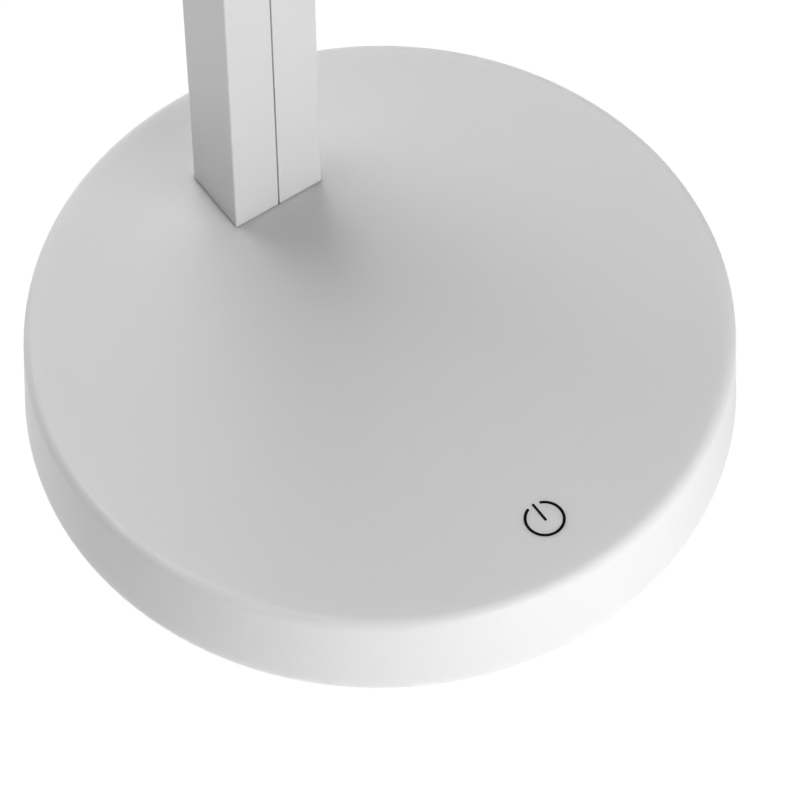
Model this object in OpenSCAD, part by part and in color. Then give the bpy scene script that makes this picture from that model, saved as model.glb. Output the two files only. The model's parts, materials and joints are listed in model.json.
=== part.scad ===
// Folding LED desk lamp: a round weighted base with a touch key, a two-part moulded post and a
// light arm that folds down along the post on a friction hinge.
// Millimetres, +Z up. The origin is the middle of the base on the desk. +X is the user's right,
// -Y points to the user, and the post stands at the rear. The arm is drawn open and level.

/* [Base] */
// Diameter of the base at its top edge
base_d = 150; // [135:1:180]
// How far the base wall leans out towards the bottom, on the radius
base_draft = 1.2; // [0:0.1:2]
// Height of the base top above the desk
base_h = 22.4; // [22.4:0.1:30]
// Gap between the lower edge of the cover and the desk
cover_lift = 0.5; // [0.3:0.1:0.6]
// Radius of the rounded edge round the top of the base
base_round = 2.3; // [1:0.1:4]
// Side wall of the base cover
cover_wall = 2.2; // [1.8:0.1:2.6]
// Top wall of the base cover
cover_top = 2; // [1.5:0.1:2.1]
// Thickness of the base plate
plate_t = 1.8; // [1.5:0.1:1.9]
// Height of the seats round the screws on the base plate
seat_h = 1.5; // [1.2:0.1:1.8]
// Diameter of the seats round the screws on the base plate
seat_d = 10; // [8.5:0.5:11]
// Diameter of the screw bosses of the cover
boss_d = 8; // [6:0.5:8.5]
// Thickness of the anti-slip pad under the base
pad_t = 1; // [0.9:0.05:1.1]
// How deep the pad sits in the base plate
pad_recess = 0.3; // [0.2:0.05:0.4]
// Width of plate left round the pad
pad_rim = 4.5; // [3:0.5:6]

/* [Counterweight] */
// Thickness of the steel counterweight
weight_t = 9; // [4:0.5:9.5]
// Half of the angle that the counterweight leaves open to the rear
weight_open = 50; // [46:1:54]

/* [Battery] */
// Diameter of a battery cell
cell_d = 17.2; // [16:0.1:17.3]
// Length of a battery cell with its button
cell_l = 65; // [60:0.5:66]
// Space between the two cells
cell_space = 2.1; // [1.6:0.1:3]
// Diameter of a cell's button
button_d = 6.5; // [5:0.5:8]
// Height of a cell's button
button_h = 1; // [0.6:0.1:1.5]
// Wall of the battery cradle
cradle_wall = 1.8; // [1.4:0.1:2.2]
// Thickness of the contact strips
strip_t = 0.3; // [0.2:0.05:0.5]
// Width of the contact strips
strip_w = 8; // [6:0.5:9]

/* [Control board] */
// Width of the control board
board_w = 40; // [39:0.5:41]
// Thickness of the circuit boards
board_t = 1.2; // [0.8:0.1:1.6]
// Height of the control board's underside above the desk
board_z = 11.5; // [11.5:0.1:12]
// Diameter of the touch board under the power key
touch_d = 20; // [14:0.5:21]
// Distance of the power key from the edge of the base
key_inset = 15.4; // [14.5:0.1:17]
// Width of the charging socket
usb_w = 8.94; // [8.6:0.02:9.2]
// Height of the charging socket
usb_h = 3.26; // [3.1:0.02:3.4]
// Length of the charging socket
usb_l = 7.3; // [6.5:0.1:8]
// Sheet thickness of the charging socket
usb_wall = 0.3; // [0.2:0.05:0.4]

/* [Post] */
// Width of the post, side to side
post_w = 22; // [21.6:0.2:24]
// Depth of the post, front to back
post_d = 16.5; // [16.2:0.1:17.5]
// Distance of the post's middle from the edge of the base
post_inset = 28.8; // [28.5:0.1:30]
// Wall of the post shells
post_wall = 1.8; // [1.6:0.05:1.9]
// Corner radius of the post
post_corner = 0.4; // [0.2:0.05:0.8]
// Width of the seam between the two shells
seam_w = 0.4; // [0.2:0.05:0.6]
// Depth of the seam between the two shells
seam_depth = 1; // [0.7:0.05:1.1]
// How far the left shell laps behind the right one
lap = 1.6; // [0.5:0.1:2.4]
// Gap between the post and its socket in the base
socket_gap = 0.1; // [0.1:0.05:0.3]
// Wall of the collar round the post inside the base
collar_wall = 2.2; // [1.6:0.1:2.3]
// Wall of the steel core tube
core_wall = 1.2; // [0.8:0.1:1.3]
// Thickness of the steel foot that is welded to the core tube
foot_t = 3; // [2.2:0.1:3.2]
// Half width of the steel foot
foot_x = 22; // [21:0.5:23]
// Half depth of the steel foot
foot_y = 14; // [12.5:0.5:14.5]

/* [Hinge] */
// Height of the hinge axis above the desk
hinge_h = 320; // [250:1:420]
// Width of the slot between the hinge ears
slot_w = 7.6; // [7.4:0.1:7.8]
// Depth of the slot below the hinge axis
slot_depth = 9; // [8.7:0.1:9.5]
// Floor under the slot
slot_floor = 2.5; // [2.2:0.1:3]
// Thickness of the steel tongue that turns in the slot
tongue_t = 7; // [6.6:0.1:7.1]
// Depth of the tongue's neck, front to back
neck_d = 10; // [8:0.5:10.4]
// Diameter of the hollow hinge pin
pin_d = 6; // [5.6:0.1:6.4]
// Bore of the hinge pin, for the cable
pin_bore = 3.4; // [3.2:0.1:3.6]
// Outer diameter of the hinge bushes
bush_d = 9; // [8:0.1:9.4]
// Depth of the round pocket in the outer face of each ear
pocket_depth = 4.2; // [4.1:0.05:4.3]
// Diameter of the round pocket behind the cap
pocket_d = 11.4; // [11:0.1:11.6]
// Diameter of the hinge caps
cap_d = 12.2; // [12:0.1:13]
// Thickness of the hinge caps
cap_t = 1.2; // [0.9:0.05:1.25]
// Gap between the folded arm and the post
fold_gap = 0.5; // [0.4:0.1:2]

/* [Light arm] */
// Distance of the arm's free end from the hinge axis
arm_l = 293; // [180:1:380]
// Height of the arm
arm_t = 12; // [11.8:0.1:14]
// Wall of the arm housing
arm_wall = 1.6; // [1.3:0.1:1.7]
// Thickness of the end caps of the arm
end_t = 1.6; // [1.2:0.1:1.8]
// Thickness of the aluminium spine
spine_t = 2.4; // [2:0.1:2.5]
// Thickness of the opal diffuser
diffuser_t = 1.5; // [1:0.1:1.6]
// Height of the diffuser's side skirts above its plate
skirt_h = 3; // [2:0.1:3.2]
// Thickness of the diffuser's side skirts
skirt_t = 1; // [0.8:0.1:1.2]
// Width of the LED board
led_board_w = 14; // [10:0.5:15]
// Thickness of the LED board
led_board_t = 1; // [0.8:0.1:1.2]
// Number of LED chips
led_count = 40; // [12:1:44]
// Length of an LED chip
led_l = 3.5; // [2.8:0.1:3.5]
// Width of an LED chip
led_w = 2.8; // [2:0.1:3.5]
// Height of an LED chip
led_h = 0.8; // [0.5:0.1:1]

/* [Screws and cables] */
// Diameter of the base screws
screw_d = 3; // [2.5:0.1:3.2]
// Head diameter of the base screws
head_d = 5.6; // [5:0.1:6]
// Head height of the base screws
head_h = 1.5; // [1.2:0.1:1.55]
// Length of the cover screws below the head
cover_screw_l = 10; // [8:0.5:12]
// Length of the plate screws below the head
plate_screw_l = 5; // [4:0.5:6]
// Diameter of the small screws
small_d = 2; // [1.8:0.1:2.2]
// Head diameter of the small screws
small_head_d = 3.8; // [3.4:0.1:4]
// Head height of the small screws
small_head_h = 1.1; // [0.9:0.05:1.2]
// Length of the small screws below the head
small_l = 6; // [5:0.5:6]
// Diameter of the cable in the post and the arm
cable_d = 2; // [1.6:0.1:2.1]
// Diameter of the thin leads in the base
lead_d = 1.4; // [1:0.1:1.5]

/* [Hidden] */
$fn = 64;
cable_sides = 8;
bend_steps = 5;
eps = 1;                      // how far a cut runs past the face that it opens
clear = 0.3;                  // room between pieces that don't touch
run = 0.05;                   // radial running fit, also the fit of a screw in its hole
press = 0.02;                 // radial fit of pieces that turn together
head_room = 0.1;              // room round a small head or a cap in its pocket

// base, from the desk upwards
base_r = base_d / 2;
cover_r = base_r - cover_wall;
plate_r = cover_r - clear;
pad_r = plate_r - pad_rim;
plate_z = pad_t - pad_recess;
plate_top = plate_z + plate_t;
seat_top = plate_top + seat_h;
head_top = pad_t + run + head_h;
roof_z = base_h - cover_top;
post_y = base_r - post_inset;
boss_edge = 10.8;             // from the inside of the wall to the middle of a boss
boss_r = cover_r - boss_edge;
boss_angles = [30, 59, 121, 150, -60, -120];
bore_spare = 1;               // depth of a blind hole below the tip of its screw
boss_bore = cover_screw_l + 2 * bore_spare;

// touch board with its locating ring, battery
touch_r = base_r - key_inset;
touch_z = roof_z - board_t;
ring_t = 1;
ring_grip = 0.5;              // how far the ring stands below the touch board
ring_h = board_t + ring_grip;
cell_r = cell_d / 2;
cell_y = cell_r + cell_space / 2;
cell_z = (plate_top + roof_z) / 2;
cell_bore = cell_r + clear;
cradle_in = cell_l / 2 + strip_t + clear;
cradle_x = cradle_in + cradle_wall;
cradle_y = cell_y + cell_bore + cradle_wall;
strip_y = cell_y + strip_w / 2;
cradle_slot = 8;

// counterweight round the battery
weight_room = 1;
weight_edge = 2.8;
weight_in = norm([cradle_x, cradle_y]) + weight_room;
weight_out = cover_r - weight_edge;
weight_mid = (weight_in + weight_out) / 2;
weight_angles = [5, 175, -90];
weight_hole = boss_d + weight_room;
weight_bore = plate_screw_l + bore_spare;

// ribs under the roof of the cover and on the base plate
rib_t = 1.2;
roof_rib_h = 2;
roof_rib_r = touch_r - touch_d / 2 - clear - ring_t;
gusset_z = seat_top + weight_t + clear;
gusset_rise = 3;
plate_rib_h = seat_h - clear;

// control board behind the post
board_top = board_z + board_t;
board_gap = 1.55;             // from the post to the board
board_edge = 5.8;             // from the board to the inside of the wall
nose_edge = 0.8;              // the same at the nose that carries the socket
board_y0 = post_y + post_d / 2 + board_gap;
board_y1 = cover_r - board_edge;
board_mid = (board_y0 + board_y1) / 2;
board_nose_w = 14;
board_nose_y = cover_r - nose_edge;
board_boss_x = 17;
board_boss_edge = 3;
board_boss_y = board_y1 - board_boss_edge;
board_boss_d = 5;
usb_z = board_top + usb_h / 2;
wall_r = base_r + base_draft * (base_h - usb_z) / (base_h - cover_lift);
usb_inset = 0.4;
usb_y = wall_r - usb_inset;
usb_tongue_w = 6.7;
usb_tongue_t = 0.7;
usb_back = 1.2;
usb_recess = 1.3;

// post
ear_t = (post_w - slot_w) / 2;
ear_in = slot_w / 2;
foot_room = 5;
shell_z = seat_top + foot_t + foot_room;
shoulder_h = 3;
shoulder_x = post_w / 2 + collar_wall;
collar_z = shell_z + shoulder_h;
collar_x = post_w / 2 + socket_gap + collar_wall;
collar_y = post_d / 2 + socket_gap + collar_wall;
core_x = post_w / 2 - post_wall - clear;
core_y = post_d / 2 - post_wall - clear;
core_r = 1;
slot_z = hinge_h - slot_depth;
ear_root = 5;                 // how far the solid ears reach below the slot
ear_z = slot_z - ear_root;
core_top = ear_z - clear;
notch_h = 22;
foot_hole_edge = 5;
foot_hole_x = foot_x - foot_hole_edge;
foot_hole_y = foot_y - foot_hole_edge;
lap_bead_r = 0.2;             // snap bead along the left shell's lap
lap_bead_x = lap - 2.5 * lap_bead_r;

// hinge, measured from the middle of the post outwards
pocket_x = post_w / 2 - pocket_depth;
cap_x = post_w / 2 - cap_t;
cap_bore = cap_d / 2 + head_room;
cap_bevel = 0.25;
pin_head_d = bush_d - 2 * clear;
pin_head_t = 0.6;
pin_head_x = pocket_x - pin_head_t - run;
bush_l = pin_head_x - run - ear_in;
washer_d = 10.4;
friction_t = 0.5;
spring_t = 0.45;
spring_h = 0.7;
nut_d = 10;
nut_t = 1.45;
nut_slot = 1.6;
spring_x = pocket_x + friction_t + run;
nut_x = spring_x + spring_h;
pin_end = nut_x + nut_t;
pin_mouth = 5.2;
window = pin_bore / 2;
thrust_t = ear_in - tongue_t / 2 - run;
tongue_inset = 0.35;
tongue_r = post_d / 2 - tongue_inset;

// arm, heights measured from its light face
arm_z = hinge_h + post_d / 2 + fold_gap;
arm_rear = post_y + post_d / 2;
arm_tip = post_y - arm_l;
arm_in = post_w / 2 - arm_wall;
spine_x = arm_in - clear;
spine_z = arm_t - arm_wall - spine_t;
led_board_z = spine_z - led_board_t;
led_z = led_board_z - led_h;
rail_t = 0.8;
rail_reach = 1.1;
rail_x = arm_in - rail_reach;
skirt_top = diffuser_t + skirt_h;
stop_h = 0.6;
bead_r = 0.5;                 // snap bead along each skirt, in a groove of the housing
bead_z = skirt_top - 2 * bead_r;
tongue_foot_t = 3;
tongue_foot_z = spine_z - tongue_foot_t;
tongue_foot_x = 7;
tongue_foot_l = 26;
root_l = 30;
root_boss_d = 5;
root_boss_x = 4.6;
root_boss_y = 15;
spine_screws_y = [8, 22];
spine_screw_d = 2.5;
spine_head_d = 4.6;
spine_head_h = 1.2;
spine_screw_l = 5;
plug_d = 1.2;
plug_x = spine_x - skirt_t - clear;
plug_z = diffuser_t + clear;
plug_top = led_board_z - clear;
inner_rear = arm_rear - end_t;
inner_tip = arm_tip + end_t;
spine_rear = inner_rear - plug_d - clear;
spine_tip = inner_tip + plug_d + clear;
led_board_rear = post_y - tongue_foot_l - 2 * clear;
led_run_in = 9.4;             // bare end of the LED board, with the pads of the cable
led_run_out = 5;
led_first = led_board_rear - led_run_in;
led_last = spine_tip + led_run_out;
led_pitch = (led_first - led_last) / (led_count - 1);

// cables, as lists of way-points
cable_r = cable_d / 2;
lead_r = lead_d / 2;
cable_x = -5;
cable_rise = 2.3;
cable_room = 0.7;
cable_z = seat_top + foot_t + cable_rise;
channel_wall = 3;
channel_x = channel_wall - post_w / 2;
channel_r = 1.6;
meet_in = 2.4;
meet_x = channel_x + meet_in;
cable_run_z = 3.2;
cable_pad_y = board_mid - 0.5;
pad_inset = 2.4;
arm_pad_y = led_board_rear - pad_inset;
post_route = [
  [cable_x, cable_pad_y, board_z],
  [cable_x, cable_pad_y, cable_z],
  [cable_x, post_y, cable_z],
  [cable_x, post_y, core_top - notch_h + 4],
  [channel_x, post_y, core_top - 3],
  [channel_x, post_y, hinge_h],
  [meet_x, post_y, hinge_h]];
post_bends = [0, 1.5, 3, 8, 8, 2.2];
arm_route = [
  [meet_x, post_y, hinge_h],
  [0, post_y, hinge_h],
  [0, post_y, arm_z + cable_run_z],
  [0, arm_pad_y, arm_z + cable_run_z],
  [0, arm_pad_y, arm_z + led_board_z]];
arm_bends = [0, 2.5, 2.4, 2.4];
touch_lead_z = roof_z - roof_rib_h - clear - lead_r;
lead_z = touch_lead_z - lead_d - clear;
lead_out = cell_z + 2.5;
lead_y = 2.2;
lead_x = 11.2;
lead_side = cradle_x + 3.5;
lead_pass = collar_x + 10.6;  // where the leads pass the collar of the post
lead_end = board_mid - 1.3;
cell_route = [
  [cell_l / 2 + strip_t, lead_y, lead_out],
  [lead_side, lead_y, lead_out],
  [lead_side, 14, lead_z],
  [lead_pass, board_y0 - 6, lead_z],
  [lead_x, lead_end, lead_z],
  [lead_x, lead_end, board_top]];
cell_bends = [0, 2, 4, 4, 1.5];
touch_side = cradle_x + 8.1;
touch_pad = [7, 4 - touch_r];
touch_end = [5.5, board_mid + 1];
touch_route = [
  [touch_pad.x, touch_pad.y, touch_z],
  [touch_pad.x, touch_pad.y, touch_lead_z],
  [touch_side, -24, touch_lead_z],
  [touch_side, 12, touch_lead_z],
  [31, board_y0 - 8, touch_lead_z],
  [touch_end.x, touch_end.y, touch_lead_z],
  [touch_end.x, touch_end.y, board_top]];
touch_bends = [0, 1.2, 6, 6, 4, 1.5];

// ---------- shapes ----------

// rectangle with round corners
module rounded(w, d, r) {
  square([w - 2 * r, d], center = true);
  square([w, d - 2 * r], center = true);
  for (x = [-1, 1], y = [-1, 1])
    translate([x * (w / 2 - r), y * (d / 2 - r)])
      circle(r);
}

// slot with round ends, long way along X
module stadium(w, h) {
  square([w - h, h], center = true);
  for (x = [-1, 1])
    translate([x * (w - h) / 2, 0])
      circle(d = h);
}

// cylinder along X from x0 to x1 on the hinge axis
module on_axis(r, x0, x1) {
  translate([x0, post_y, hinge_h])
    rotate([0, 90, 0])
      cylinder(r = r, h = x1 - x0);
}

// ring along X on the hinge axis
module axis_ring(d_out, r_in, x0, x1) {
  difference() {
    on_axis(d_out / 2, x0, x1);
    on_axis(r_in, x0 - eps, x1 + eps);
  }
}

// straight prism along Y from y0 back to y1, its profile drawn in X and Z
module along_arm(y0, y1) {
  translate([0, y0, arm_z])
    rotate([90, 0, 0])
      linear_extrude(y0 - y1)
        children();
}

module left_of(x) {
  intersection() {
    children();
    translate([x - post_w, -post_w])
      square([post_w, 2 * post_w]);
  }
}

module right_of(x) {
  intersection() {
    children();
    translate([x, -post_w])
      square([post_w, 2 * post_w]);
  }
}

// screw with its head at the bottom and its tip up, the head's upper face at z
module screw_up(d, l, hd, hh) {
  translate([0, 0, -hh])
    cylinder(d = hd, h = hh);
  cylinder(d = d, h = l);
}

// ---------- cables ----------

function unit(v) = v / norm(v);

// points of the bend at b between a and c
function bend(a, b, c, r) =
  let (p = unit(a - b),
       q = unit(c - b),
       half = acos(p * q) / 2,
       mid = b + unit(p + q) * r / sin(half),
       u = b + p * r / tan(half) - mid,
       v = b + q * r / tan(half) - mid,
       w = acos(-p * q))
  [for (k = [0:bend_steps])
    mid + (sin(w * (1 - k / bend_steps)) * u + sin(w * k / bend_steps) * v) / sin(w)];

function route(way, bends) = concat(
  [way[0]],
  [for (i = [1:len(way) - 2]) each bend(way[i - 1], way[i], way[i + 1], bends[i])],
  [way[len(way) - 1]]);

function headings(p) = [for (i = [0:len(p) - 1])
  unit(p[min(i + 1, len(p) - 1)] - p[max(i - 1, 0)])];

// the side direction, carried along the cable without twist
function carried(t, n) = len(n) == len(t) ? n :
  carried(t, concat(n, [unit(n[len(n) - 1] - (n[len(n) - 1] * t[len(n)]) * t[len(n)])]));

module cable(way, bends, r, side) {
  p = route(way, bends);
  t = headings(p);
  n = carried(t, [side]);
  s = cable_sides;
  last = len(p) - 1;
  rings = [for (i = [0:last], k = [0:s - 1])
    p[i] + r * (cos(360 * k / s) * n[i] + sin(360 * k / s) * cross(t[i], n[i]))];
  walls = [for (i = [0:last - 1], k = [0:s - 1]) each [
    [i * s + k, (i + 1) * s + k, i * s + (k + 1) % s],
    [i * s + (k + 1) % s, (i + 1) * s + k, (i + 1) * s + (k + 1) % s]]];
  ends = [[for (k = [0:s - 1]) k], [for (k = [s - 1:-1:0]) last * s + k]];
  polyhedron(rings, concat(walls, ends));
}

// ---------- base ----------

// half section of the cover's outside, with the rounded edge tangent to wall and top
module cover_section() {
  lean = atan(base_draft / (base_h - cover_lift));
  cz = base_h - base_round;
  cx = base_r + base_draft * base_round / (base_h - cover_lift) - base_round / cos(lean);
  polygon([
    [0, cover_lift],
    [base_r + base_draft, cover_lift],
    [cx + base_round * cos(lean), cz + base_round * sin(lean)],
    [cx, cz],
    [cx, base_h],
    [0, base_h]]);
  translate([cx, cz])
    circle(base_round);
}

module boss_places() {
  for (a = boss_angles)
    rotate(a)
      translate([boss_r, 0, 0])
        children();
}

// upright ring with its inner radius and wall
module ring(r_in, wall, h) {
  linear_extrude(h)
    difference() {
      circle(r_in + wall);
      circle(r_in);
    }
}

// ring rib round the battery, spokes to the bosses and gussets from the bosses to the wall
module roof_ribs() {
  top = roof_z + cover_top / 2;
  low = roof_z - roof_rib_h;
  out = boss_edge + cover_wall / 2;
  translate([0, 0, low])
    ring(roof_rib_r - rib_t / 2, rib_t, top - low);
  boss_places() {
    translate([roof_rib_r - boss_r, -rib_t / 2, low])
      cube([boss_r - roof_rib_r, rib_t, top - low]);
    translate([0, rib_t / 2, 0])
      rotate([90, 0, 0])
        linear_extrude(rib_t)
          polygon([[0, gusset_z], [out, gusset_z + gusset_rise], [out, top], [0, top]]);
  }
}

module plate_screw_places() {
  for (a = weight_angles)
    translate([weight_mid * cos(a), weight_mid * sin(a), 0])
      children();
  for (x = [-1, 1], y = [-1, 1])
    translate([x * foot_hole_x, post_y + y * foot_hole_y, 0])
      children();
}

module board_boss_places() {
  for (x = [-1, 1])
    translate([x * board_boss_x, board_boss_y, 0])
      children();
}

module base_cover() {
  difference() {
    union() {
      difference() {
        rotate_extrude()
          cover_section();
        cylinder(r = cover_r, h = roof_z);
      }
      boss_places()
        translate([0, 0, seat_top])
          cylinder(d = boss_d, h = roof_z - seat_top);
      board_boss_places()
        translate([0, 0, board_top])
          cylinder(d = board_boss_d, h = roof_z - board_top);
      translate([0, post_y, collar_z])
        linear_extrude(roof_z - collar_z)
          square([2 * collar_x, 2 * collar_y], center = true);
      roof_ribs();
      translate([0, -touch_r, roof_z - ring_h])
        ring(touch_d / 2 + clear, ring_t, ring_h + cover_top / 2);
    }
    boss_places()
      translate([0, 0, seat_top - eps])
        cylinder(r = screw_d / 2 + run, h = boss_bore + eps);
    board_boss_places()
      translate([0, 0, board_top - eps])
        cylinder(r = small_d / 2 + run, h = small_l + eps);
    translate([0, post_y, collar_z - eps])
      linear_extrude(base_h)
        rounded(post_w + 2 * socket_gap, post_d + 2 * socket_gap, post_corner + socket_gap);
    translate([0, base_r + 2 * cover_wall, usb_z])
      rotate([90, 0, 0])
        linear_extrude(4 * cover_wall)
          stadium(usb_w + 2 * clear, usb_h + 2 * clear);
  }
}

module base_plate() {
  difference() {
    union() {
      translate([0, 0, plate_z])
        cylinder(r = plate_r, h = plate_t);
      boss_places()
        translate([0, 0, plate_top])
          cylinder(d = seat_d, h = seat_h);
      plate_screw_places()
        translate([0, 0, plate_top])
          cylinder(d = seat_d, h = seat_h);
      for (r = [weight_mid, plate_r - rib_t])
        translate([0, 0, plate_top - plate_t / 2])
          ring(r, rib_t, plate_t / 2 + plate_rib_h);
    }
    translate([0, 0, pad_t - eps])
      cylinder(r = pad_r + clear, h = eps);
    boss_places()
      screw_room();
    plate_screw_places()
      screw_room();
  }
}

// counterbore and hole in the base plate
module screw_room() {
  cylinder(r = head_d / 2 + clear, h = head_top);
  cylinder(r = screw_d / 2 + clear, h = seat_top + eps);
}

module anti_slip_pad() {
  cylinder(r = pad_r, h = pad_t);
}

module cover_screws() {
  boss_places()
    translate([0, 0, head_top])
      screw_up(screw_d, cover_screw_l, head_d, head_h);
}

module plate_screws() {
  plate_screw_places()
    translate([0, 0, head_top])
      screw_up(screw_d, plate_screw_l, head_d, head_h);
}

module counterweight() {
  reach = 2 * weight_out;
  difference() {
    translate([0, 0, seat_top])
      linear_extrude(weight_t)
        difference() {
          circle(weight_out);
          circle(weight_in);
          polygon([
            [0, 0],
            [reach * sin(weight_open), reach * cos(weight_open)],
            [0, reach],
            [-reach * sin(weight_open), reach * cos(weight_open)]]);
          for (a = boss_angles)
            translate([boss_r * cos(a), boss_r * sin(a)])
              circle(d = weight_hole);
        }
    for (a = weight_angles)
      translate([weight_mid * cos(a), weight_mid * sin(a), seat_top - eps])
        cylinder(r = screw_d / 2 + run, h = weight_bore - seat_top + head_top + eps);
  }
}

module battery_cells() {
  for (y = [-cell_y, cell_y])
    translate([-cell_l / 2, y, cell_z])
      rotate([0, 90, 0]) {
        cylinder(r = cell_r, h = cell_l - button_h);
        cylinder(d = button_d, h = cell_l);
      }
}

module battery_strips() {
  for (x = [-cell_l / 2 - strip_t, cell_l / 2])
    translate([x, -strip_y, cell_z - strip_w / 2])
      cube([strip_t, 2 * strip_y, strip_w]);
}

module battery_cradle() {
  difference() {
    translate([-cradle_x, -cradle_y, plate_top])
      cube([2 * cradle_x, 2 * cradle_y, cell_z - plate_top]);
    for (y = [-cell_y, cell_y]) {
      translate([-cradle_in, y, cell_z])
        rotate([0, 90, 0])
          cylinder(r = cell_bore, h = 2 * cradle_in);
      translate([-cradle_in, y - cradle_slot / 2, plate_top - eps])
        cube([2 * cradle_in, cradle_slot, cell_r]);
    }
    for (x = [-cradle_in, cell_l / 2 - clear])
      translate([x, -strip_y - clear, cell_z - strip_w / 2 - clear])
        cube([cradle_in - cell_l / 2 + clear, 2 * (strip_y + clear), strip_w]);
  }
}

module battery_leads() {
  cable(cell_route, cell_bends, lead_r, [0, 0, 1]);
  mirror([1, 0, 0])
    cable(cell_route, cell_bends, lead_r, [0, 0, 1]);
}

module control_board() {
  difference() {
    translate([0, 0, board_z])
      linear_extrude(board_t) {
        translate([-board_w / 2, board_y0])
          square([board_w, board_y1 - board_y0]);
        translate([-board_nose_w / 2, board_y0])
          square([board_nose_w, board_nose_y - board_y0]);
      }
    board_boss_places()
      translate([0, 0, board_z - eps])
        cylinder(r = small_d / 2 + run, h = board_t + 2 * eps);
  }
}

// charger coil, two chips and the three lead sockets, each on the board's top face
module board_parts() {
  coil = 5;
  chip = 4;
  chip_h = 1;
  coil_h = 2.8;
  coil_gap = 2.7;
  chip_edge = 1;
  translate([coil_gap - lead_x, board_mid - coil / 2, board_top])
    cube([coil, coil, coil_h]);
  translate([-chip / 2, board_mid - chip / 2, board_top])
    cube([chip, chip, chip_h]);
  translate([chip_edge - board_w / 2, board_y0 + chip_edge, board_top])
    cube([chip, chip, chip_h]);
}

module board_screws() {
  board_boss_places()
    translate([0, 0, board_z])
      screw_up(small_d, small_l, small_head_d, small_head_h);
}

module usb_socket() {
  translate([0, usb_y, usb_z])
    rotate([90, 0, 0]) {
      difference() {
        linear_extrude(usb_l)
          stadium(usb_w, usb_h);
        translate([0, 0, -eps])
          linear_extrude(usb_l - usb_back + eps)
            stadium(usb_w - 2 * usb_wall, usb_h - 2 * usb_wall);
      }
      translate([0, 0, usb_recess])
        linear_extrude(usb_l - usb_recess)
          square([usb_tongue_w, usb_tongue_t], center = true);
    }
}

module touch_board() {
  translate([0, -touch_r, touch_z])
    cylinder(d = touch_d, h = board_t);
}

module touch_lead() {
  cable(touch_route, touch_bends, lead_r, [1, 0, 0]);
}

// ---------- post ----------

module post_core() {
  difference() {
    union() {
      translate([0, post_y, seat_top])
        linear_extrude(core_top - seat_top)
          rounded(2 * core_x, 2 * core_y, core_r);
      translate([-foot_x, post_y - foot_y, seat_top])
        cube([2 * foot_x, 2 * foot_y, foot_t]);
    }
    translate([0, post_y, seat_top - eps])
      linear_extrude(hinge_h)
        square([2 * (core_x - core_wall), 2 * (core_y - core_wall)], center = true);
    for (x = [-1, 1], y = [-1, 1])
      translate([x * foot_hole_x, post_y + y * foot_hole_y, seat_top - eps])
        cylinder(r = screw_d / 2 + run, h = foot_t + 2 * eps);
    translate([cable_x, post_y, cable_z])
      rotate([-90, 0, 0])
        cylinder(r = cable_r + cable_room, h = post_d);
    translate([-post_w, post_y - cable_d, core_top - notch_h])
      cube([post_w + cable_x, 2 * cable_d, 2 * notch_h]);
  }
}

// one half of the post's section; the inner layer laps the seam
module half_section(outer, inner) {
  difference() {
    union() {
      if (outer < 0)
        left_of(outer)
          rounded(post_w, post_d, post_corner);
      if (outer > 0)
        right_of(outer)
          rounded(post_w, post_d, post_corner);
    }
    square([post_w - 2 * post_wall, post_d - 2 * post_wall], center = true);
    lap_cut(outer, inner);
    if (outer > 0)
      lap_beads(lap_bead_r + run);
  }
  if (outer < 0) {
    left_of(inner)
      inner_layer();
    lap_beads(lap_bead_r);
  }
}

module lap_beads(r) {
  for (y = [-1, 1])
    translate([lap_bead_x, y * (post_d / 2 - seam_depth)])
      circle(r);
}

// what the right half leaves free for the left half's lap
module lap_cut(outer, inner) {
  if (outer > 0)
    translate([0, -post_d / 2 + seam_depth])
      square([inner, post_d - 2 * seam_depth]);
}

module inner_layer() {
  difference() {
    square([post_w - 2 * seam_depth, post_d - 2 * seam_depth], center = true);
    square([post_w - 2 * post_wall, post_d - 2 * post_wall], center = true);
  }
}

// solid half of the section under the hinge slot
module half_floor(outer, inner) {
  if (outer < 0)
    left_of(inner)
      square([post_w - 2 * seam_depth, post_d - 2 * seam_depth], center = true);
  if (outer > 0)
    difference() {
      right_of(outer)
        rounded(post_w, post_d, post_corner);
      lap_cut(outer, inner);
      lap_beads(lap_bead_r + run);
    }
}

module ear_outline() {
  translate([-hinge_h, 0])
    circle(d = post_d);
  translate([-hinge_h, -post_d / 2])
    square([hinge_h - ear_z, post_d]);
}

// side is -1 for the left shell and 1 for the right one
module post_shell(side) {
  outer = side * seam_w / 2;
  inner = side < 0 ? lap : lap + clear;
  difference() {
    union() {
      translate([0, post_y, shell_z])
        linear_extrude(slot_z - seam_depth - shell_z)
          half_section(outer, inner);
      translate([0, post_y, slot_z - slot_floor])
        linear_extrude(slot_floor - seam_depth)
          half_floor(outer, inner);
      translate([0, post_y, slot_z - seam_depth])
        linear_extrude(seam_depth)
          if (side < 0)
            left_of(outer)
              rounded(post_w, post_d, post_corner);
          else
            right_of(outer)
              rounded(post_w, post_d, post_corner);
      ear(side);
      translate([side < 0 ? -shoulder_x : post_w / 2 - post_wall, post_y - post_d / 2, shell_z])
        cube([shoulder_x - post_w / 2 + post_wall, post_d, shoulder_h]);
    }
    on_axis_side(side, bush_d / 2, ear_in - eps, post_w / 2);
    on_axis_side(side, pocket_d / 2, pocket_x, post_w / 2 + eps);
    on_axis_side(side, cap_bore, cap_x, post_w / 2 + eps);
    if (side < 0)
      translate([channel_x, post_y, ear_z - eps])
        cylinder(r = channel_r, h = hinge_h - bush_d / 2 - ear_z + eps / 2);
  }
}

module on_axis_side(side, r, x0, x1) {
  if (side < 0)
    on_axis(r, -x1, -x0);
  else
    on_axis(r, x0, x1);
}

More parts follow.
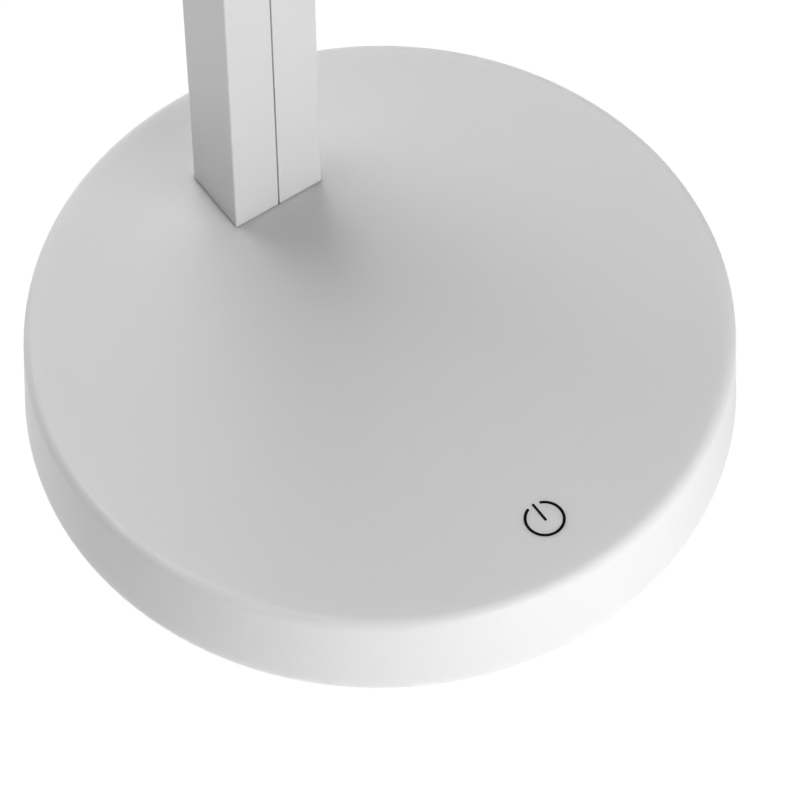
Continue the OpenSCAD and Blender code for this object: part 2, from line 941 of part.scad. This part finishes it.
module ear(side) {
  intersection() {
    translate([side < 0 ? -post_w / 2 : ear_in, post_y, 0])
      rotate([0, 90, 0])
        linear_extrude(ear_t)
          ear_outline();
    translate([0, post_y, 0])
      linear_extrude(hinge_h + post_d)
        rounded(post_w, post_d, post_corner);
  }
}

module post_shell_left() {
  post_shell(-1);
}

module post_shell_right() {
  post_shell(1);
}

module post_cable() {
  cable(post_route, post_bends, cable_r, [1, 0, 0]);
}

// ---------- hinge ----------

module hinge_bushes() {
  for (x = [-ear_in - bush_l, ear_in])
    axis_ring(bush_d - 2 * press, pin_d / 2 + run, x, x + bush_l);
}

module friction_washer() {
  axis_ring(washer_d, pin_d / 2 + run, pocket_x, pocket_x + friction_t);
}

module hinge_caps() {
  for (side = [0, 1])
    mirror([side, 0, 0])
      translate([cap_x, post_y, hinge_h])
        rotate([0, 90, 0]) {
          cylinder(d = cap_d, h = cap_t - cap_bevel);
          translate([0, 0, cap_t - cap_bevel])
            cylinder(r1 = cap_d / 2, r2 = cap_d / 2 - cap_bevel, h = cap_bevel);
        }
}

module thrust_washers() {
  for (x = [-ear_in, ear_in - thrust_t])
    axis_ring(washer_d, pin_d / 2 + run, x, x + thrust_t);
}

module hinge_pin() {
  difference() {
    union() {
      on_axis(pin_d / 2, -pin_head_x, pin_end);
      on_axis(pin_head_d / 2, -pin_head_x - pin_head_t, -pin_head_x);
    }
    on_axis(pin_bore / 2, -post_w, window);
    on_axis(pin_mouth / 2, -post_w, -pin_head_x);
    translate([0, post_y, hinge_h])
      cylinder(r = window, h = pin_d);
  }
}

module spring_washer() {
  translate([spring_x, post_y, hinge_h])
    rotate([0, 90, 0])
      rotate_extrude()
        polygon([
          [pin_d / 2 + run, 0],
          [washer_d / 2, spring_h - spring_t],
          [washer_d / 2, spring_h],
          [pin_d / 2 + run, spring_t]]);
}

module hinge_nut() {
  difference() {
    axis_ring(nut_d, pin_d / 2 + press, nut_x, nut_x + nut_t);
    for (y = [-1, 1])
      translate([nut_x + nut_t / 2, post_y + y * nut_d / 2 - nut_slot / 2, hinge_h - nut_slot / 2])
        cube([nut_t, nut_slot, nut_slot]);
  }
}

module arm_tongue() {
  half = neck_d / 2;
  difference() {
    union() {
      on_axis(tongue_r, -tongue_t / 2, tongue_t / 2);
      translate([-tongue_t / 2, post_y - half, hinge_h])
        cube([tongue_t, neck_d, arm_z - hinge_h + spine_z]);
      translate([-tongue_foot_x, post_y - tongue_foot_l, arm_z + tongue_foot_z])
        cube([2 * tongue_foot_x, tongue_foot_l + half, tongue_foot_t]);
    }
    on_axis(pin_d / 2 + press, -post_w, post_w);
    translate([0, post_y, hinge_h])
      cylinder(r = window, h = arm_z - hinge_h + cable_run_z);
    translate([0, post_y, arm_z + cable_run_z])
      sphere(r = window);
    translate([0, post_y, arm_z + cable_run_z])
      rotate([90, 0, 0])
        cylinder(r = window, h = neck_d);
    for (x = [-1, 1], y = spine_screws_y)
      translate([x * root_boss_x, post_y - y, arm_z + tongue_foot_z - eps])
        cylinder(r = spine_screw_d / 2 + run, h = tongue_foot_t + 2 * eps);
    for (x = [-1, 1])
      translate([x * root_boss_x, post_y - root_boss_y, arm_z + tongue_foot_z - eps])
        cylinder(r = small_d / 2 + run, h = tongue_foot_t + 2 * eps);
  }
}

// ---------- light arm ----------

// countersunk screws from the spine's upper face into the tongue
module tongue_screws() {
  for (x = [-1, 1], y = spine_screws_y)
    translate([x * root_boss_x, post_y - y, arm_z + spine_z + spine_t]) {
      translate([0, 0, -spine_head_h])
        cylinder(r1 = spine_screw_d / 2, r2 = spine_head_d / 2, h = spine_head_h);
      translate([0, 0, -spine_screw_l])
        cylinder(d = spine_screw_d, h = spine_screw_l);
    }
}

module arm_spine() {
  difference() {
    along_arm(spine_rear, spine_tip)
      translate([-spine_x, spine_z])
        square([2 * spine_x, spine_t]);
    for (x = [-1, 1], y = spine_screws_y)
      translate([x * root_boss_x, post_y - y, arm_z + spine_z + spine_t]) {
        translate([0, 0, -spine_head_h])
          cylinder(r1 = spine_screw_d / 2 + run, r2 = spine_head_d / 2 + run, h = spine_head_h);
        translate([0, 0, -spine_t - eps])
          cylinder(r = spine_screw_d / 2 + run, h = spine_t + 2 * eps);
      }
    for (x = [-1, 1])
      translate([x * root_boss_x, post_y - root_boss_y, arm_z + spine_z - eps])
        cylinder(r = small_d / 2 + clear, h = spine_t + 2 * eps);
  }
}

// white channel with a rail under the spine, and a stop and a groove for the diffuser's skirts
module arm_housing() {
  along_arm(inner_rear, inner_tip) {
    difference() {
      translate([0, arm_t / 2])
        rounded(post_w, arm_t, post_corner);
      translate([-arm_in, -eps])
        square([2 * arm_in, arm_t - arm_wall + eps]);
      for (side = [-1, 1])
        translate([side * arm_in, bead_z])
          circle(bead_r + run);
    }
    for (side = [0, 1])
      mirror([side, 0]) {
        translate([rail_x, spine_z - rail_t])
          square([arm_in - rail_x + arm_wall / 2, rail_t]);
        translate([rail_x, skirt_top])
          square([arm_in - rail_x + arm_wall / 2, stop_h]);
      }
  }
}

module root_cover() {
  difference() {
    union() {
      along_arm(inner_rear - clear / 2, post_y - root_l)
        translate([-spine_x, 0])
          square([2 * spine_x, diffuser_t]);
      for (x = [-1, 1])
        translate([x * root_boss_x, post_y - root_boss_y, arm_z])
          cylinder(d = root_boss_d, h = tongue_foot_z);
    }
    translate([-tongue_t / 2 - clear, post_y - neck_d / 2 - clear, arm_z - eps])
      cube([tongue_t + 2 * clear, neck_d + 2 * clear, diffuser_t + 2 * eps]);
    for (x = [-1, 1])
      translate([x * root_boss_x, post_y - root_boss_y, arm_z]) {
        cylinder(r = small_d / 2 + run, h = tongue_foot_z + eps);
        translate([0, 0, -eps])
          cylinder(r = small_head_d / 2 + head_room, h = small_head_h + eps);
      }
  }
}

module root_screws() {
  for (x = [-1, 1])
    translate([x * root_boss_x, post_y - root_boss_y, arm_z + small_head_h])
      screw_up(small_d, small_l, small_head_d, small_head_h);
}

module end_cap(face, inward) {
  along_arm(face, face - end_t)
    translate([0, arm_t / 2])
      rounded(post_w, arm_t, post_corner);
  along_arm(inward, inward - plug_d)
    translate([-plug_x, plug_z])
      square([2 * plug_x, plug_top - plug_z]);
}

module arm_end_caps() {
  end_cap(arm_rear, inner_rear);
  end_cap(inner_tip, inner_tip + plug_d);
}

module led_board() {
  along_arm(led_board_rear, spine_tip)
    translate([-led_board_w / 2, led_board_z])
      square([led_board_w, led_board_t]);
}

module led_chips() {
  for (i = [0:led_count - 1])
    translate([-led_w / 2, led_first - i * led_pitch - led_l / 2, arm_z + led_z])
      cube([led_w, led_l, led_h]);
}

module diffuser() {
  along_arm(post_y - root_l - clear, inner_tip + clear / 2)
    difference() {
      union() {
        translate([-spine_x, 0])
          square([2 * spine_x, skirt_top]);
        for (side = [-1, 1])
          translate([side * spine_x, bead_z])
            circle(bead_r);
      }
      translate([skirt_t - spine_x, diffuser_t])
        square([2 * (spine_x - skirt_t), skirt_top]);
    }
}

module arm_cable() {
  cable(arm_route, arm_bends, cable_r, [0, 0, 1]);
}

// ---------- nodes ----------

white = [0.93, 0.93, 0.92];
steel = [0.72, 0.73, 0.75];
dark = [0.2, 0.2, 0.21];
green = [0.12, 0.42, 0.26];
copper = [0.85, 0.6, 0.35];
opal = [0.97, 0.96, 0.9];

color(white) base_cover();
color(white) base_plate();
color(dark) anti_slip_pad();
color(steel) cover_screws();
color(steel) plate_screws();
color(steel) counterweight();
color(copper) battery_cells();
color(steel) battery_strips();
color(dark) battery_cradle();
color(dark) battery_leads();
color(green) control_board();
color(dark) board_parts();
color(steel) board_screws();
color(steel) usb_socket();
color(green) touch_board();
color(dark) touch_lead();
color(steel) post_core();
color(white) post_shell_left();
color(white) post_shell_right();
color(dark) post_cable();
color(dark) hinge_bushes();
color(dark) friction_washer();
color(white) hinge_caps();
color(dark) thrust_washers();
color(steel) hinge_pin();
color(steel) spring_washer();
color(steel) hinge_nut();
color(steel) arm_tongue();
color(steel) tongue_screws();
color(steel) arm_spine();
color(white) arm_housing();
color(white) root_cover();
color(steel) root_screws();
color(white) arm_end_caps();
color(green) led_board();
color(opal) led_chips();
color(opal) diffuser();
color(dark) arm_cable();
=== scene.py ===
# Looks of a folding desk lamp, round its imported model. Metres, in the model's own frame.
import json
import math

import bmesh
import bpy
from mathutils import Matrix, Vector


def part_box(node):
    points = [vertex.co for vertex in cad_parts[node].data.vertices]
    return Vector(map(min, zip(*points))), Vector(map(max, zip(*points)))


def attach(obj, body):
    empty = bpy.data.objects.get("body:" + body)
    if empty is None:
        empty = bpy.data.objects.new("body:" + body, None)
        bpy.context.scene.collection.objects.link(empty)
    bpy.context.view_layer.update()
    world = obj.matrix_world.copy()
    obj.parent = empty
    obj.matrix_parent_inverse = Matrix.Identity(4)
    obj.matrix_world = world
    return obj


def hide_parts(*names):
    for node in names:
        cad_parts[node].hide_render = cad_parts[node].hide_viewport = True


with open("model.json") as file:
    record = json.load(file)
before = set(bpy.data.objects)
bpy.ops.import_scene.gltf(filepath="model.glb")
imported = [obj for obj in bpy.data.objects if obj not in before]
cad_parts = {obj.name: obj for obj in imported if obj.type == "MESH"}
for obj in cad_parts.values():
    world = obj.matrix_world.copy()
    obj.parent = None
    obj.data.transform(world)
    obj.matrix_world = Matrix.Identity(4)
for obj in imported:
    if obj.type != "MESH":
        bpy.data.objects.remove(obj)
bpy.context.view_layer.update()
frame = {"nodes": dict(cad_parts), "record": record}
nodes = frame["nodes"]
MM = 0.001


# ---------- materials ----------

def empty_tree(owner):
    """the node tree of a material or world, with nothing in it"""
    owner.use_nodes = True
    owner.node_tree.nodes.clear()
    return owner.node_tree


def add_node(tree, kind, inputs):
    """a node with some of its inputs set"""
    node = tree.nodes.new(kind)
    for socket, value in inputs.items():
        node.inputs[socket].default_value = value
    return node


def new_material(name):
    mat = bpy.data.materials.new(name)
    tree = empty_tree(mat)
    out = tree.nodes.new("ShaderNodeOutputMaterial")
    bsdf = tree.nodes.new("ShaderNodeBsdfPrincipled")
    tree.links.new(bsdf.outputs["BSDF"], out.inputs["Surface"])
    return mat, tree, bsdf


def noise(tree, coords, scale, detail, roughness=0.5):
    node = add_node(tree, "ShaderNodeTexNoise", {"Scale": scale, "Detail": detail, "Roughness": roughness})
    tree.links.new(coords, node.inputs["Vector"])
    return node.outputs["Fac"]


def span(tree, value, low, high):
    """value, from 0 to 1, mapped to low..high"""
    node = add_node(tree, "ShaderNodeMapRange", {"To Min": low, "To Max": high})
    tree.links.new(value, node.inputs["Value"])
    return node.outputs["Result"]


def shade(tree, value, dark, light):
    """a colour between dark and light"""
    node = tree.nodes.new("ShaderNodeMix")
    node.data_type = "RGBA"
    node.inputs["A"].default_value = (*dark, 1)
    node.inputs["B"].default_value = (*light, 1)
    tree.links.new(value, node.inputs["Factor"])
    return node.outputs["Result"]


def bump(tree, bsdf, height, strength, distance):
    node = add_node(tree, "ShaderNodeBump", {"Strength": strength, "Distance": distance})
    tree.links.new(height, node.inputs["Height"])
    tree.links.new(node.outputs["Normal"], bsdf.inputs["Normal"])


def object_coords(tree, stretch=(1, 1, 1)):
    coords = tree.nodes.new("ShaderNodeTexCoord").outputs["Object"]
    if stretch == (1, 1, 1):
        return coords
    node = add_node(tree, "ShaderNodeMapping", {"Scale": stretch})
    tree.links.new(coords, node.inputs["Vector"])
    return node.outputs["Vector"]


def moulded(name, colour, rough=(0.42, 0.5), grain=0.22 * MM, depth=0.012 * MM, specular=0.5, milky=0.0):
    """plastic with a fine spark-eroded grain and a faint unevenness of tone; a milky one lets light in"""
    uneven = 0.012
    mat, tree, bsdf = new_material(name)
    coords = object_coords(tree)
    broad = noise(tree, coords, scale=18, detail=3)
    fine = noise(tree, coords, scale=1 / grain, detail=2, roughness=0.6)
    dark = tuple(c * (1 - uneven) for c in colour)
    light = tuple(min(1, c * (1 + uneven)) for c in colour)
    tree.links.new(shade(tree, broad, dark, light), bsdf.inputs["Base Color"])
    tree.links.new(span(tree, fine, *rough), bsdf.inputs["Roughness"])
    bsdf.inputs["Specular IOR Level"].default_value = specular
    if milky:
        bsdf.inputs["Subsurface Weight"].default_value = milky
        bsdf.inputs["Subsurface Scale"].default_value = 3 * MM
        bsdf.inputs["Subsurface Radius"].default_value = (1, 1, 1)
    bump(tree, bsdf, fine, strength=0.6, distance=depth)
    return mat


def metal(name, colour, rough=(0.25, 0.4), stretch=(1, 1, 1), scale=900):
    """bare metal; its grain runs along the axis where stretch is smallest"""
    mat, tree, bsdf = new_material(name)
    coords = object_coords(tree, stretch)
    fine = noise(tree, coords, scale, detail=4, roughness=0.6)
    dark = tuple(c * 0.9 for c in colour)
    tree.links.new(shade(tree, fine, dark, colour), bsdf.inputs["Base Color"])
    tree.links.new(span(tree, fine, *rough), bsdf.inputs["Roughness"])
    bsdf.inputs["Metallic"].default_value = 1.0
    bump(tree, bsdf, fine, strength=0.5, distance=0.004 * MM)
    return mat


def opal(name):
    """satin acrylic over the light-emitting chips"""
    mat, tree, bsdf = new_material(name)
    coords = object_coords(tree)
    fine = noise(tree, coords, scale=2600, detail=2)
    tree.links.new(shade(tree, fine, (0.86, 0.86, 0.84), (0.9, 0.9, 0.885)), bsdf.inputs["Base Color"])
    tree.links.new(span(tree, fine, 0.3, 0.38), bsdf.inputs["Roughness"])
    bsdf.inputs["Subsurface Weight"].default_value = 0.25
    bsdf.inputs["Subsurface Scale"].default_value = 2 * MM
    bump(tree, bsdf, fine, strength=0.4, distance=0.006 * MM)
    return mat


def rubber(name, colour):
    """dull silicone with a coarse, dusty grain"""
    mat, tree, bsdf = new_material(name)
    coords = object_coords(tree)
    fine = noise(tree, coords, scale=1500, detail=4, roughness=0.7)
    dark = tuple(c * 0.8 for c in colour)
    tree.links.new(shade(tree, fine, dark, colour), bsdf.inputs["Base Color"])
    tree.links.new(span(tree, fine, 0.75, 0.9), bsdf.inputs["Roughness"])
    bump(tree, bsdf, fine, strength=0.6, distance=0.03 * MM)
    return mat


WHITE = (0.80, 0.80, 0.80)
materials = {
    "white_plastic": moulded("white_moulding", WHITE, milky=0.9),
    "white_arm": moulded("white_arm_moulding", WHITE, grain=0.25 * MM),
    "plate_plastic": moulded("plate_moulding", (0.7, 0.7, 0.69), rough=(0.5, 0.6)),
    "pad_rubber": rubber("pad_silicone", (0.05, 0.05, 0.053)),
    "zinc_screw": metal("zinc_plate", (0.5, 0.505, 0.52), rough=(0.34, 0.46)),
    "weight_iron": metal("weight_iron", (0.2, 0.2, 0.21), rough=(0.45, 0.65), scale=400),
    "cell_wrap": moulded("cell_wrap", (0.06, 0.2, 0.5), rough=(0.25, 0.32), grain=0.8 * MM),
    "nickel": metal("nickel_strip", (0.66, 0.64, 0.6)),
    "black_plastic": moulded("black_moulding", (0.03, 0.03, 0.032), rough=(0.45, 0.55)),
    "board_green": moulded("solder_mask", (0.02, 0.15, 0.07), rough=(0.25, 0.35), grain=0.5 * MM),
    "chip_black": moulded("chip_resin", (0.025, 0.025, 0.027), rough=(0.5, 0.6)),
    "socket_steel": metal("socket_sheet", (0.7, 0.7, 0.72), rough=(0.18, 0.28)),
    "core_steel": metal("core_tube", (0.45, 0.46, 0.48), stretch=(6, 6, 0.2)),
    "cable_black": moulded("cable_sheath", (0.02, 0.02, 0.02), rough=(0.45, 0.55)),
    "lead_red": moulded("lead_red", (0.45, 0.03, 0.02), rough=(0.4, 0.5)),
    "lead_grey": moulded("lead_grey", (0.3, 0.3, 0.31), rough=(0.4, 0.5)),
    "bush_nylon": moulded("bush_nylon", (0.55, 0.55, 0.54), rough=(0.45, 0.55)),
    "hinge_steel": metal("hinge_steel", (0.55, 0.56, 0.58)),
    "tongue_steel": metal("tongue_nickel", (0.5, 0.5, 0.505), rough=(0.36, 0.48), scale=1400),
    "spine_aluminium": metal("spine_mill", (0.7, 0.71, 0.72), stretch=(6, 0.2, 6)),
    "led_white": moulded("led_mask", (0.75, 0.75, 0.73), rough=(0.35, 0.45)),
    "led_chip": moulded("led_phosphor", (0.8, 0.62, 0.12), rough=(0.3, 0.4)),
    "opal": opal("opal_acrylic"),
}
# steel backs the post's shells, so they aren't milky as the base cover is
post_white = moulded("white_post_moulding", WHITE)
own_finish = {"post_shell_left": post_white, "post_shell_right": post_white}
for part in frame["record"]["subparts"]:
    mesh = nodes[part["node"]].data
    mesh.materials.clear()
    mesh.materials.append(own_finish.get(part["node"], materials[part["material_slot"]]))
    mesh.polygons.foreach_set("material_index", [0] * len(mesh.polygons))


# ---------- mesh tools ----------

def add_object(name, bm, material):
    mesh = bpy.data.meshes.new(name)
    bm.normal_update()
    bm.to_mesh(mesh)
    bm.free()
    mesh.materials.append(material)
    obj = bpy.data.objects.new(name, mesh)
    bpy.context.scene.collection.objects.link(obj)
    return obj


def add_piece(name, bm, material, body):
    piece = add_object(name, bm, material)
    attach(piece, body)
    return piece


def arc_points(cx, cy, r, start, end, steps):
    angles = [start + (end - start) * i / steps for i in range(steps + 1)]
    return [(cx + r * math.cos(a), cy + r * math.sin(a)) for a in angles]


def add_ring(bm, points, z):
    return [bm.verts.new((x, y, z)) for x, y in points]


def join_rings(bm, first, second):
    for i in range(len(first)):
        j = (i + 1) % len(first)
        bm.faces.new((first[i], first[j], second[j], second[i]))


def add_prism(bm, outline, z_low, z_high):
    """closed prism over a ring of (x, y) points that runs anticlockwise"""
    low = add_ring(bm, outline, z_low)
    high = add_ring(bm, outline, z_high)
    bm.faces.new(reversed(low))
    bm.faces.new(high)
    join_rings(bm, low, high)


def add_block(bm, low, high):
    outline = [(low[0], low[1]), (high[0], low[1]), (high[0], high[1]), (low[0], high[1])]
    add_prism(bm, outline, low[2], high[2])


# ---------- power mark ----------
# a ring open towards the post, with a bar from its middle out through the opening

cover_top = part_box("base_cover")[1].z
touch_low, touch_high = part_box("touch_board")
mark_x = (touch_low.x + touch_high.x) / 2
mark_y = (touch_low.y + touch_high.y) / 2
mark_r = 4.02 * MM
ring_line = 0.64 * MM
bar_line = 0.58 * MM
bar_in = mark_y - 0.3 * MM
bar_out = mark_y + 4.05 * MM
half_opening = math.radians(24)
ink_low = cover_top - 0.03 * MM
ink_high = cover_top + 0.015 * MM
ring_steps = 120
end_steps = 8

ring_start = math.pi / 2 + half_opening
ring_end = math.pi / 2 - half_opening + 2 * math.pi


def round_end(at, turn_from):
    """half circle round one end of the ring's line"""
    x = mark_x + mark_r * math.cos(at)
    y = mark_y + mark_r * math.sin(at)
    return arc_points(x, y, ring_line / 2, turn_from, turn_from + math.pi, end_steps)[1:-1]


ring = arc_points(mark_x, mark_y, mark_r + ring_line / 2, ring_start, ring_end, ring_steps)
ring += round_end(ring_end, ring_end)
ring += arc_points(mark_x, mark_y, mark_r - ring_line / 2, ring_end, ring_start, ring_steps)
ring += round_end(ring_start, ring_start + math.pi)
bar = arc_points(mark_x, bar_in, bar_line / 2, math.pi, 2 * math.pi, end_steps)
bar += arc_points(mark_x, bar_out, bar_line / 2, 0, math.pi, end_steps)
bm = bmesh.new()
add_prism(bm, ring, ink_low, ink_high)
add_prism(bm, bar, ink_low, ink_high)
ink_black = moulded(
    "ink_black", (0.003, 0.003, 0.003), rough=(0.6, 0.7), grain=0.1 * MM, depth=0.002 * MM, specular=0.04)
add_piece("power_mark", bm, ink_black, "stand")


# ---------- screws of the root cover ----------

def cross_outline(reach, half):
    """a cross with straight arms round the origin, ten points to a quarter"""
    shoulder = reach * 0.65
    waist = reach * 0.42
    tip = [(reach, 0), (reach, half / 2), (reach, half)]
    flank = [(shoulder, half), (waist, half), (half, half)]
    arm = tip + flank
    arm += [(y, x) for x, y in reversed(arm[1:-1])]
    points = []
    for quarter in range(4):
        cos = math.cos(quarter * math.pi / 2)
        sin = math.sin(quarter * math.pi / 2)
        points += [(x * cos - y * sin, x * sin + y * cos) for x, y in arm]
    return points


def add_screw(bm, x, y, z_face, z_tip, head_r, head_h, shank_r):
    """pan screw with a cross recess, its head downwards and its tip up"""
    edge = head_r * 0.18
    edge_start = edge * 0.3
    recess_depth = head_h * 0.62
    recess_taper = 0.7
    point_r = shank_r * 0.5
    cross = cross_outline(head_r * 0.58, head_r * 0.16)
    angles = [math.atan2(b, a) for a, b in cross]

    def circle(r):
        return [(x + r * math.cos(a), y + r * math.sin(a)) for a in angles]

    def recess(scale):
        return [(x + a * scale, y + b * scale) for a, b in cross]

    rings = [
        add_ring(bm, recess(recess_taper), z_face + recess_depth),
        add_ring(bm, recess(1), z_face),
        add_ring(bm, circle(head_r - edge), z_face),
        add_ring(bm, circle(head_r - edge_start), z_face + edge_start),
        add_ring(bm, circle(head_r), z_face + edge),
        add_ring(bm, circle(head_r), z_face + head_h),
        add_ring(bm, circle(shank_r), z_face + head_h),
        add_ring(bm, circle(shank_r), z_tip - shank_r),
        add_ring(bm, circle(point_r), z_tip),
    ]
    for first, second in zip(rings, rings[1:]):
        join_rings(bm, first, second)
    bm.faces.new(rings[0])
    bm.faces.new(rings[-1])


screws_low, screws_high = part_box("root_screws")
screw_y = (screws_low.y + screws_high.y) / 2
screw_head_r = (screws_high.y - screws_low.y) / 2
screw_head_h = 1.1 * MM
screw_shank_r = 0.95 * MM
bm = bmesh.new()
for screw_x in (screws_low.x + screw_head_r, screws_high.x - screw_head_r):
    add_screw(bm, screw_x, screw_y, screws_low.z, screws_high.z, screw_head_r, screw_head_h, screw_shank_r)
bmesh.ops.recalc_face_normals(bm, faces=bm.faces)
screws = add_piece("root_screws_crossed", bm, materials["zinc_screw"], "light_arm")
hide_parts("root_screws")


# ---------- tongue of the charging socket ----------
# a flat black tongue with a blunted front edge, and a row of contacts above and below

socket_low, socket_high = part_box("usb_socket")
socket_z = (socket_low.z + socket_high.z) / 2
tongue_half_w = 3.38 * MM
tongue_half_t = 0.38 * MM
tongue_front = socket_high.y - 1.25 * MM
tongue_back = socket_high.y - 5.9 * MM
tongue_blunt = 0.2 * MM
half_profile = [
    (tongue_back, -tongue_half_t),
    (tongue_front - tongue_blunt, -tongue_half_t),
    (tongue_front, tongue_blunt - tongue_half_t),
]
profile = half_profile + [(y, -z) for y, z in reversed(half_profile)]
bm = bmesh.new()
left_end = [bm.verts.new((-tongue_half_w, y, socket_z + z)) for y, z in profile]
right_end = [bm.verts.new((tongue_half_w, y, socket_z + z)) for y, z in profile]
join_rings(bm, left_end, right_end)
bm.faces.new(left_end)
bm.faces.new(right_end)
bmesh.ops.recalc_face_normals(bm, faces=bm.faces)
add_piece("socket_tongue", bm, materials["black_plastic"], "stand")

contact_count = 12
contact_pitch = 0.5 * MM
contact_half_w = 0.13 * MM
contact_half_t = 0.02 * MM
contact_back = tongue_back + 0.5 * MM
contact_front = tongue_front - 0.6 * MM
bm = bmesh.new()
for i in range(contact_count):
    x = (i - (contact_count - 1) / 2) * contact_pitch
    for z in (socket_z - tongue_half_t, socket_z + tongue_half_t):
        low = (x - contact_half_w, contact_back, z - contact_half_t)
        high = (x + contact_half_w, contact_front, z + contact_half_t)
        add_block(bm, low, high)
gold = metal("contact_gold", (0.75, 0.55, 0.22), rough=(0.25, 0.35))
add_piece("socket_contacts", bm, gold, "stand")


# ---------- camera ----------

# looks down at the base from the front left; the heading turns from +Y towards +X
CAMERA_AT = Vector((-0.32449, -0.48389, 0.86004))
HEADING = math.radians(34.2518)
PITCH = math.radians(56.0958)
ROLL = math.radians(-0.5566)
LENS = 217.993
SENSOR = 36

forward = Vector((
    math.sin(HEADING) * math.cos(PITCH),
    math.cos(HEADING) * math.cos(PITCH),
    -math.sin(PITCH),
))
level_right = Vector((math.cos(HEADING), -math.sin(HEADING), 0))
level_up = level_right.cross(forward)
right = level_right * math.cos(ROLL) + level_up * math.sin(ROLL)
up = level_up * math.cos(ROLL) - level_right * math.sin(ROLL)
turn = Matrix((right, up, -forward)).transposed()
camera_data = bpy.data.cameras.new("camera")
camera_data.sensor_width = SENSOR
camera_data.lens = LENS
camera_data.clip_start = 0.05
camera_data.clip_end = 60
camera = bpy.data.objects.new("camera", camera_data)
bpy.context.scene.collection.objects.link(camera)
camera.matrix_world = Matrix.Translation(CAMERA_AT) @ turn.to_4x4()
bpy.context.scene.camera = camera


# ---------- studio ----------

def area_light(name, azimuth, elevation, distance, size, power, target_z, spread):
    """square light that aims at the middle; azimuth 0 shines from the front (-Y) and 90 from +X"""
    data = bpy.data.lights.new(name, "AREA")
    data.shape = "SQUARE"
    data.size = size
    data.energy = power
    data.spread = math.radians(spread)
    light = bpy.data.objects.new(name, data)
    a = math.radians(azimuth)
    e = math.radians(elevation)
    back = Vector((math.sin(a) * math.cos(e), -math.cos(a) * math.cos(e), math.sin(e)))
    light.location = Vector((0, 0, target_z)) + back * distance
    light.visible_camera = False
    light.rotation_mode = "QUATERNION"
    light.rotation_quaternion = (-back).to_track_quat("-Z", "Y")
    bpy.context.scene.collection.objects.link(light)


# name, azimuth and elevation in degrees, distance, size, watts, height that it aims at, spread in degrees
LIGHTS = [
    ("back_wide", 180, 60, 3.0, 2.4, 30.8, 0.05, 180),
    ("back_top", 180, 75, 3.0, 1.2, 19.0, 0.05, 180),
    ("back_low", 180, 8, 1.7, 0.9, 4.1, 0.02, 180),
    ("back_left", 210, 45, 1.7, 0.9, 1.1, 0.02, 180),
    ("front_right", 22, 45, 1.7, 0.9, 6.6, 0.02, 180),
    ("front_low", -2, 8, 0.45, 0.16, 0.365, 0.02, 120),
]
for light in LIGHTS:
    area_light(*light)


def add_shaders(tree, first, second):
    node = tree.nodes.new("ShaderNodeAddShader")
    tree.links.new(first.outputs[0], node.inputs[0])
    tree.links.new(second.outputs[0], node.inputs[1])
    return node


def either(tree, first, second):
    node = tree.nodes.new("ShaderNodeMath")
    node.operation = "MAXIMUM"
    tree.links.new(first, node.inputs[0])
    tree.links.new(second, node.inputs[1])
    return node.outputs[0]


def part_by_ray(tree, unseen, seen, out):
    """seen is for rays that show the background: camera, mirror and glass rays; unseen is for the rest"""
    path = tree.nodes.new("ShaderNodeLightPath")
    camera_or_mirror = either(tree, path.outputs["Is Camera Ray"], path.outputs["Is Glossy Ray"])
    showing = either(tree, camera_or_mirror, path.outputs["Is Transmission Ray"])
    mix = tree.nodes.new("ShaderNodeMixShader")
    tree.links.new(showing, mix.inputs[0])
    tree.links.new(unseen.outputs[0], mix.inputs[1])
    tree.links.new(seen.outputs[0], mix.inputs[2])
    tree.links.new(mix.outputs[0], out.inputs["Surface"])


WHITE_LIGHT = (1, 1, 1, 1)
TABLE_GREY = (0.8, 0.8, 0.8, 1)
SHADOW_GREY = (0.12, 0.12, 0.12, 1)
TABLE_GLOW = 0.4
# metres from the middle, and the strength of the floor's whiteness in the picture there
TOP_UP = {"From Min": 0.3, "From Max": 1.3, "To Min": 0.93, "To Max": 1.0}

# world: a white backdrop that gives no light
world = bpy.data.worlds.new("world")
bpy.context.scene.world = world
tree = empty_tree(world)
dark_sky = add_node(tree, "ShaderNodeBackground", {"Color": WHITE_LIGHT, "Strength": 0.0})
backdrop = add_node(tree, "ShaderNodeBackground", {"Color": WHITE_LIGHT, "Strength": 1.0})
part_by_ray(tree, dark_sky, backdrop, tree.nodes.new("ShaderNodeOutputWorld"))

# floor: for the light a pale table that also glows a little, which lifts the object's lower sides;
# in the picture white apart from the object's shadow, topped up further out, where less light falls on it
floor_mat = bpy.data.materials.new("floor")
tree = empty_tree(floor_mat)
table = add_node(tree, "ShaderNodeBsdfDiffuse", {"Color": TABLE_GREY})
table_glow = add_node(tree, "ShaderNodeEmission", {"Color": WHITE_LIGHT, "Strength": TABLE_GLOW})
shadow_catcher = add_node(tree, "ShaderNodeBsdfDiffuse", {"Color": SHADOW_GREY})
picture_glow = add_node(tree, "ShaderNodeEmission", {"Color": WHITE_LIGHT})
from_middle = tree.nodes.new("ShaderNodeVectorMath")
from_middle.operation = "LENGTH"
tree.links.new(object_coords(tree), from_middle.inputs[0])
top_up = add_node(tree, "ShaderNodeMapRange", TOP_UP)
top_up.interpolation_type = "SMOOTHSTEP"
tree.links.new(from_middle.outputs["Value"], top_up.inputs["Value"])
tree.links.new(top_up.outputs["Result"], picture_glow.inputs["Strength"])
for_light = add_shaders(tree, table, table_glow)
for_picture = add_shaders(tree, shadow_catcher, picture_glow)
part_by_ray(tree, for_light, for_picture, tree.nodes.new("ShaderNodeOutputMaterial"))
bm = bmesh.new()
bmesh.ops.create_circle(bm, cap_ends=True, segments=96, radius=12)
add_object("floor", bm, floor_mat)

bpy.context.scene.view_settings.view_transform = "Standard"
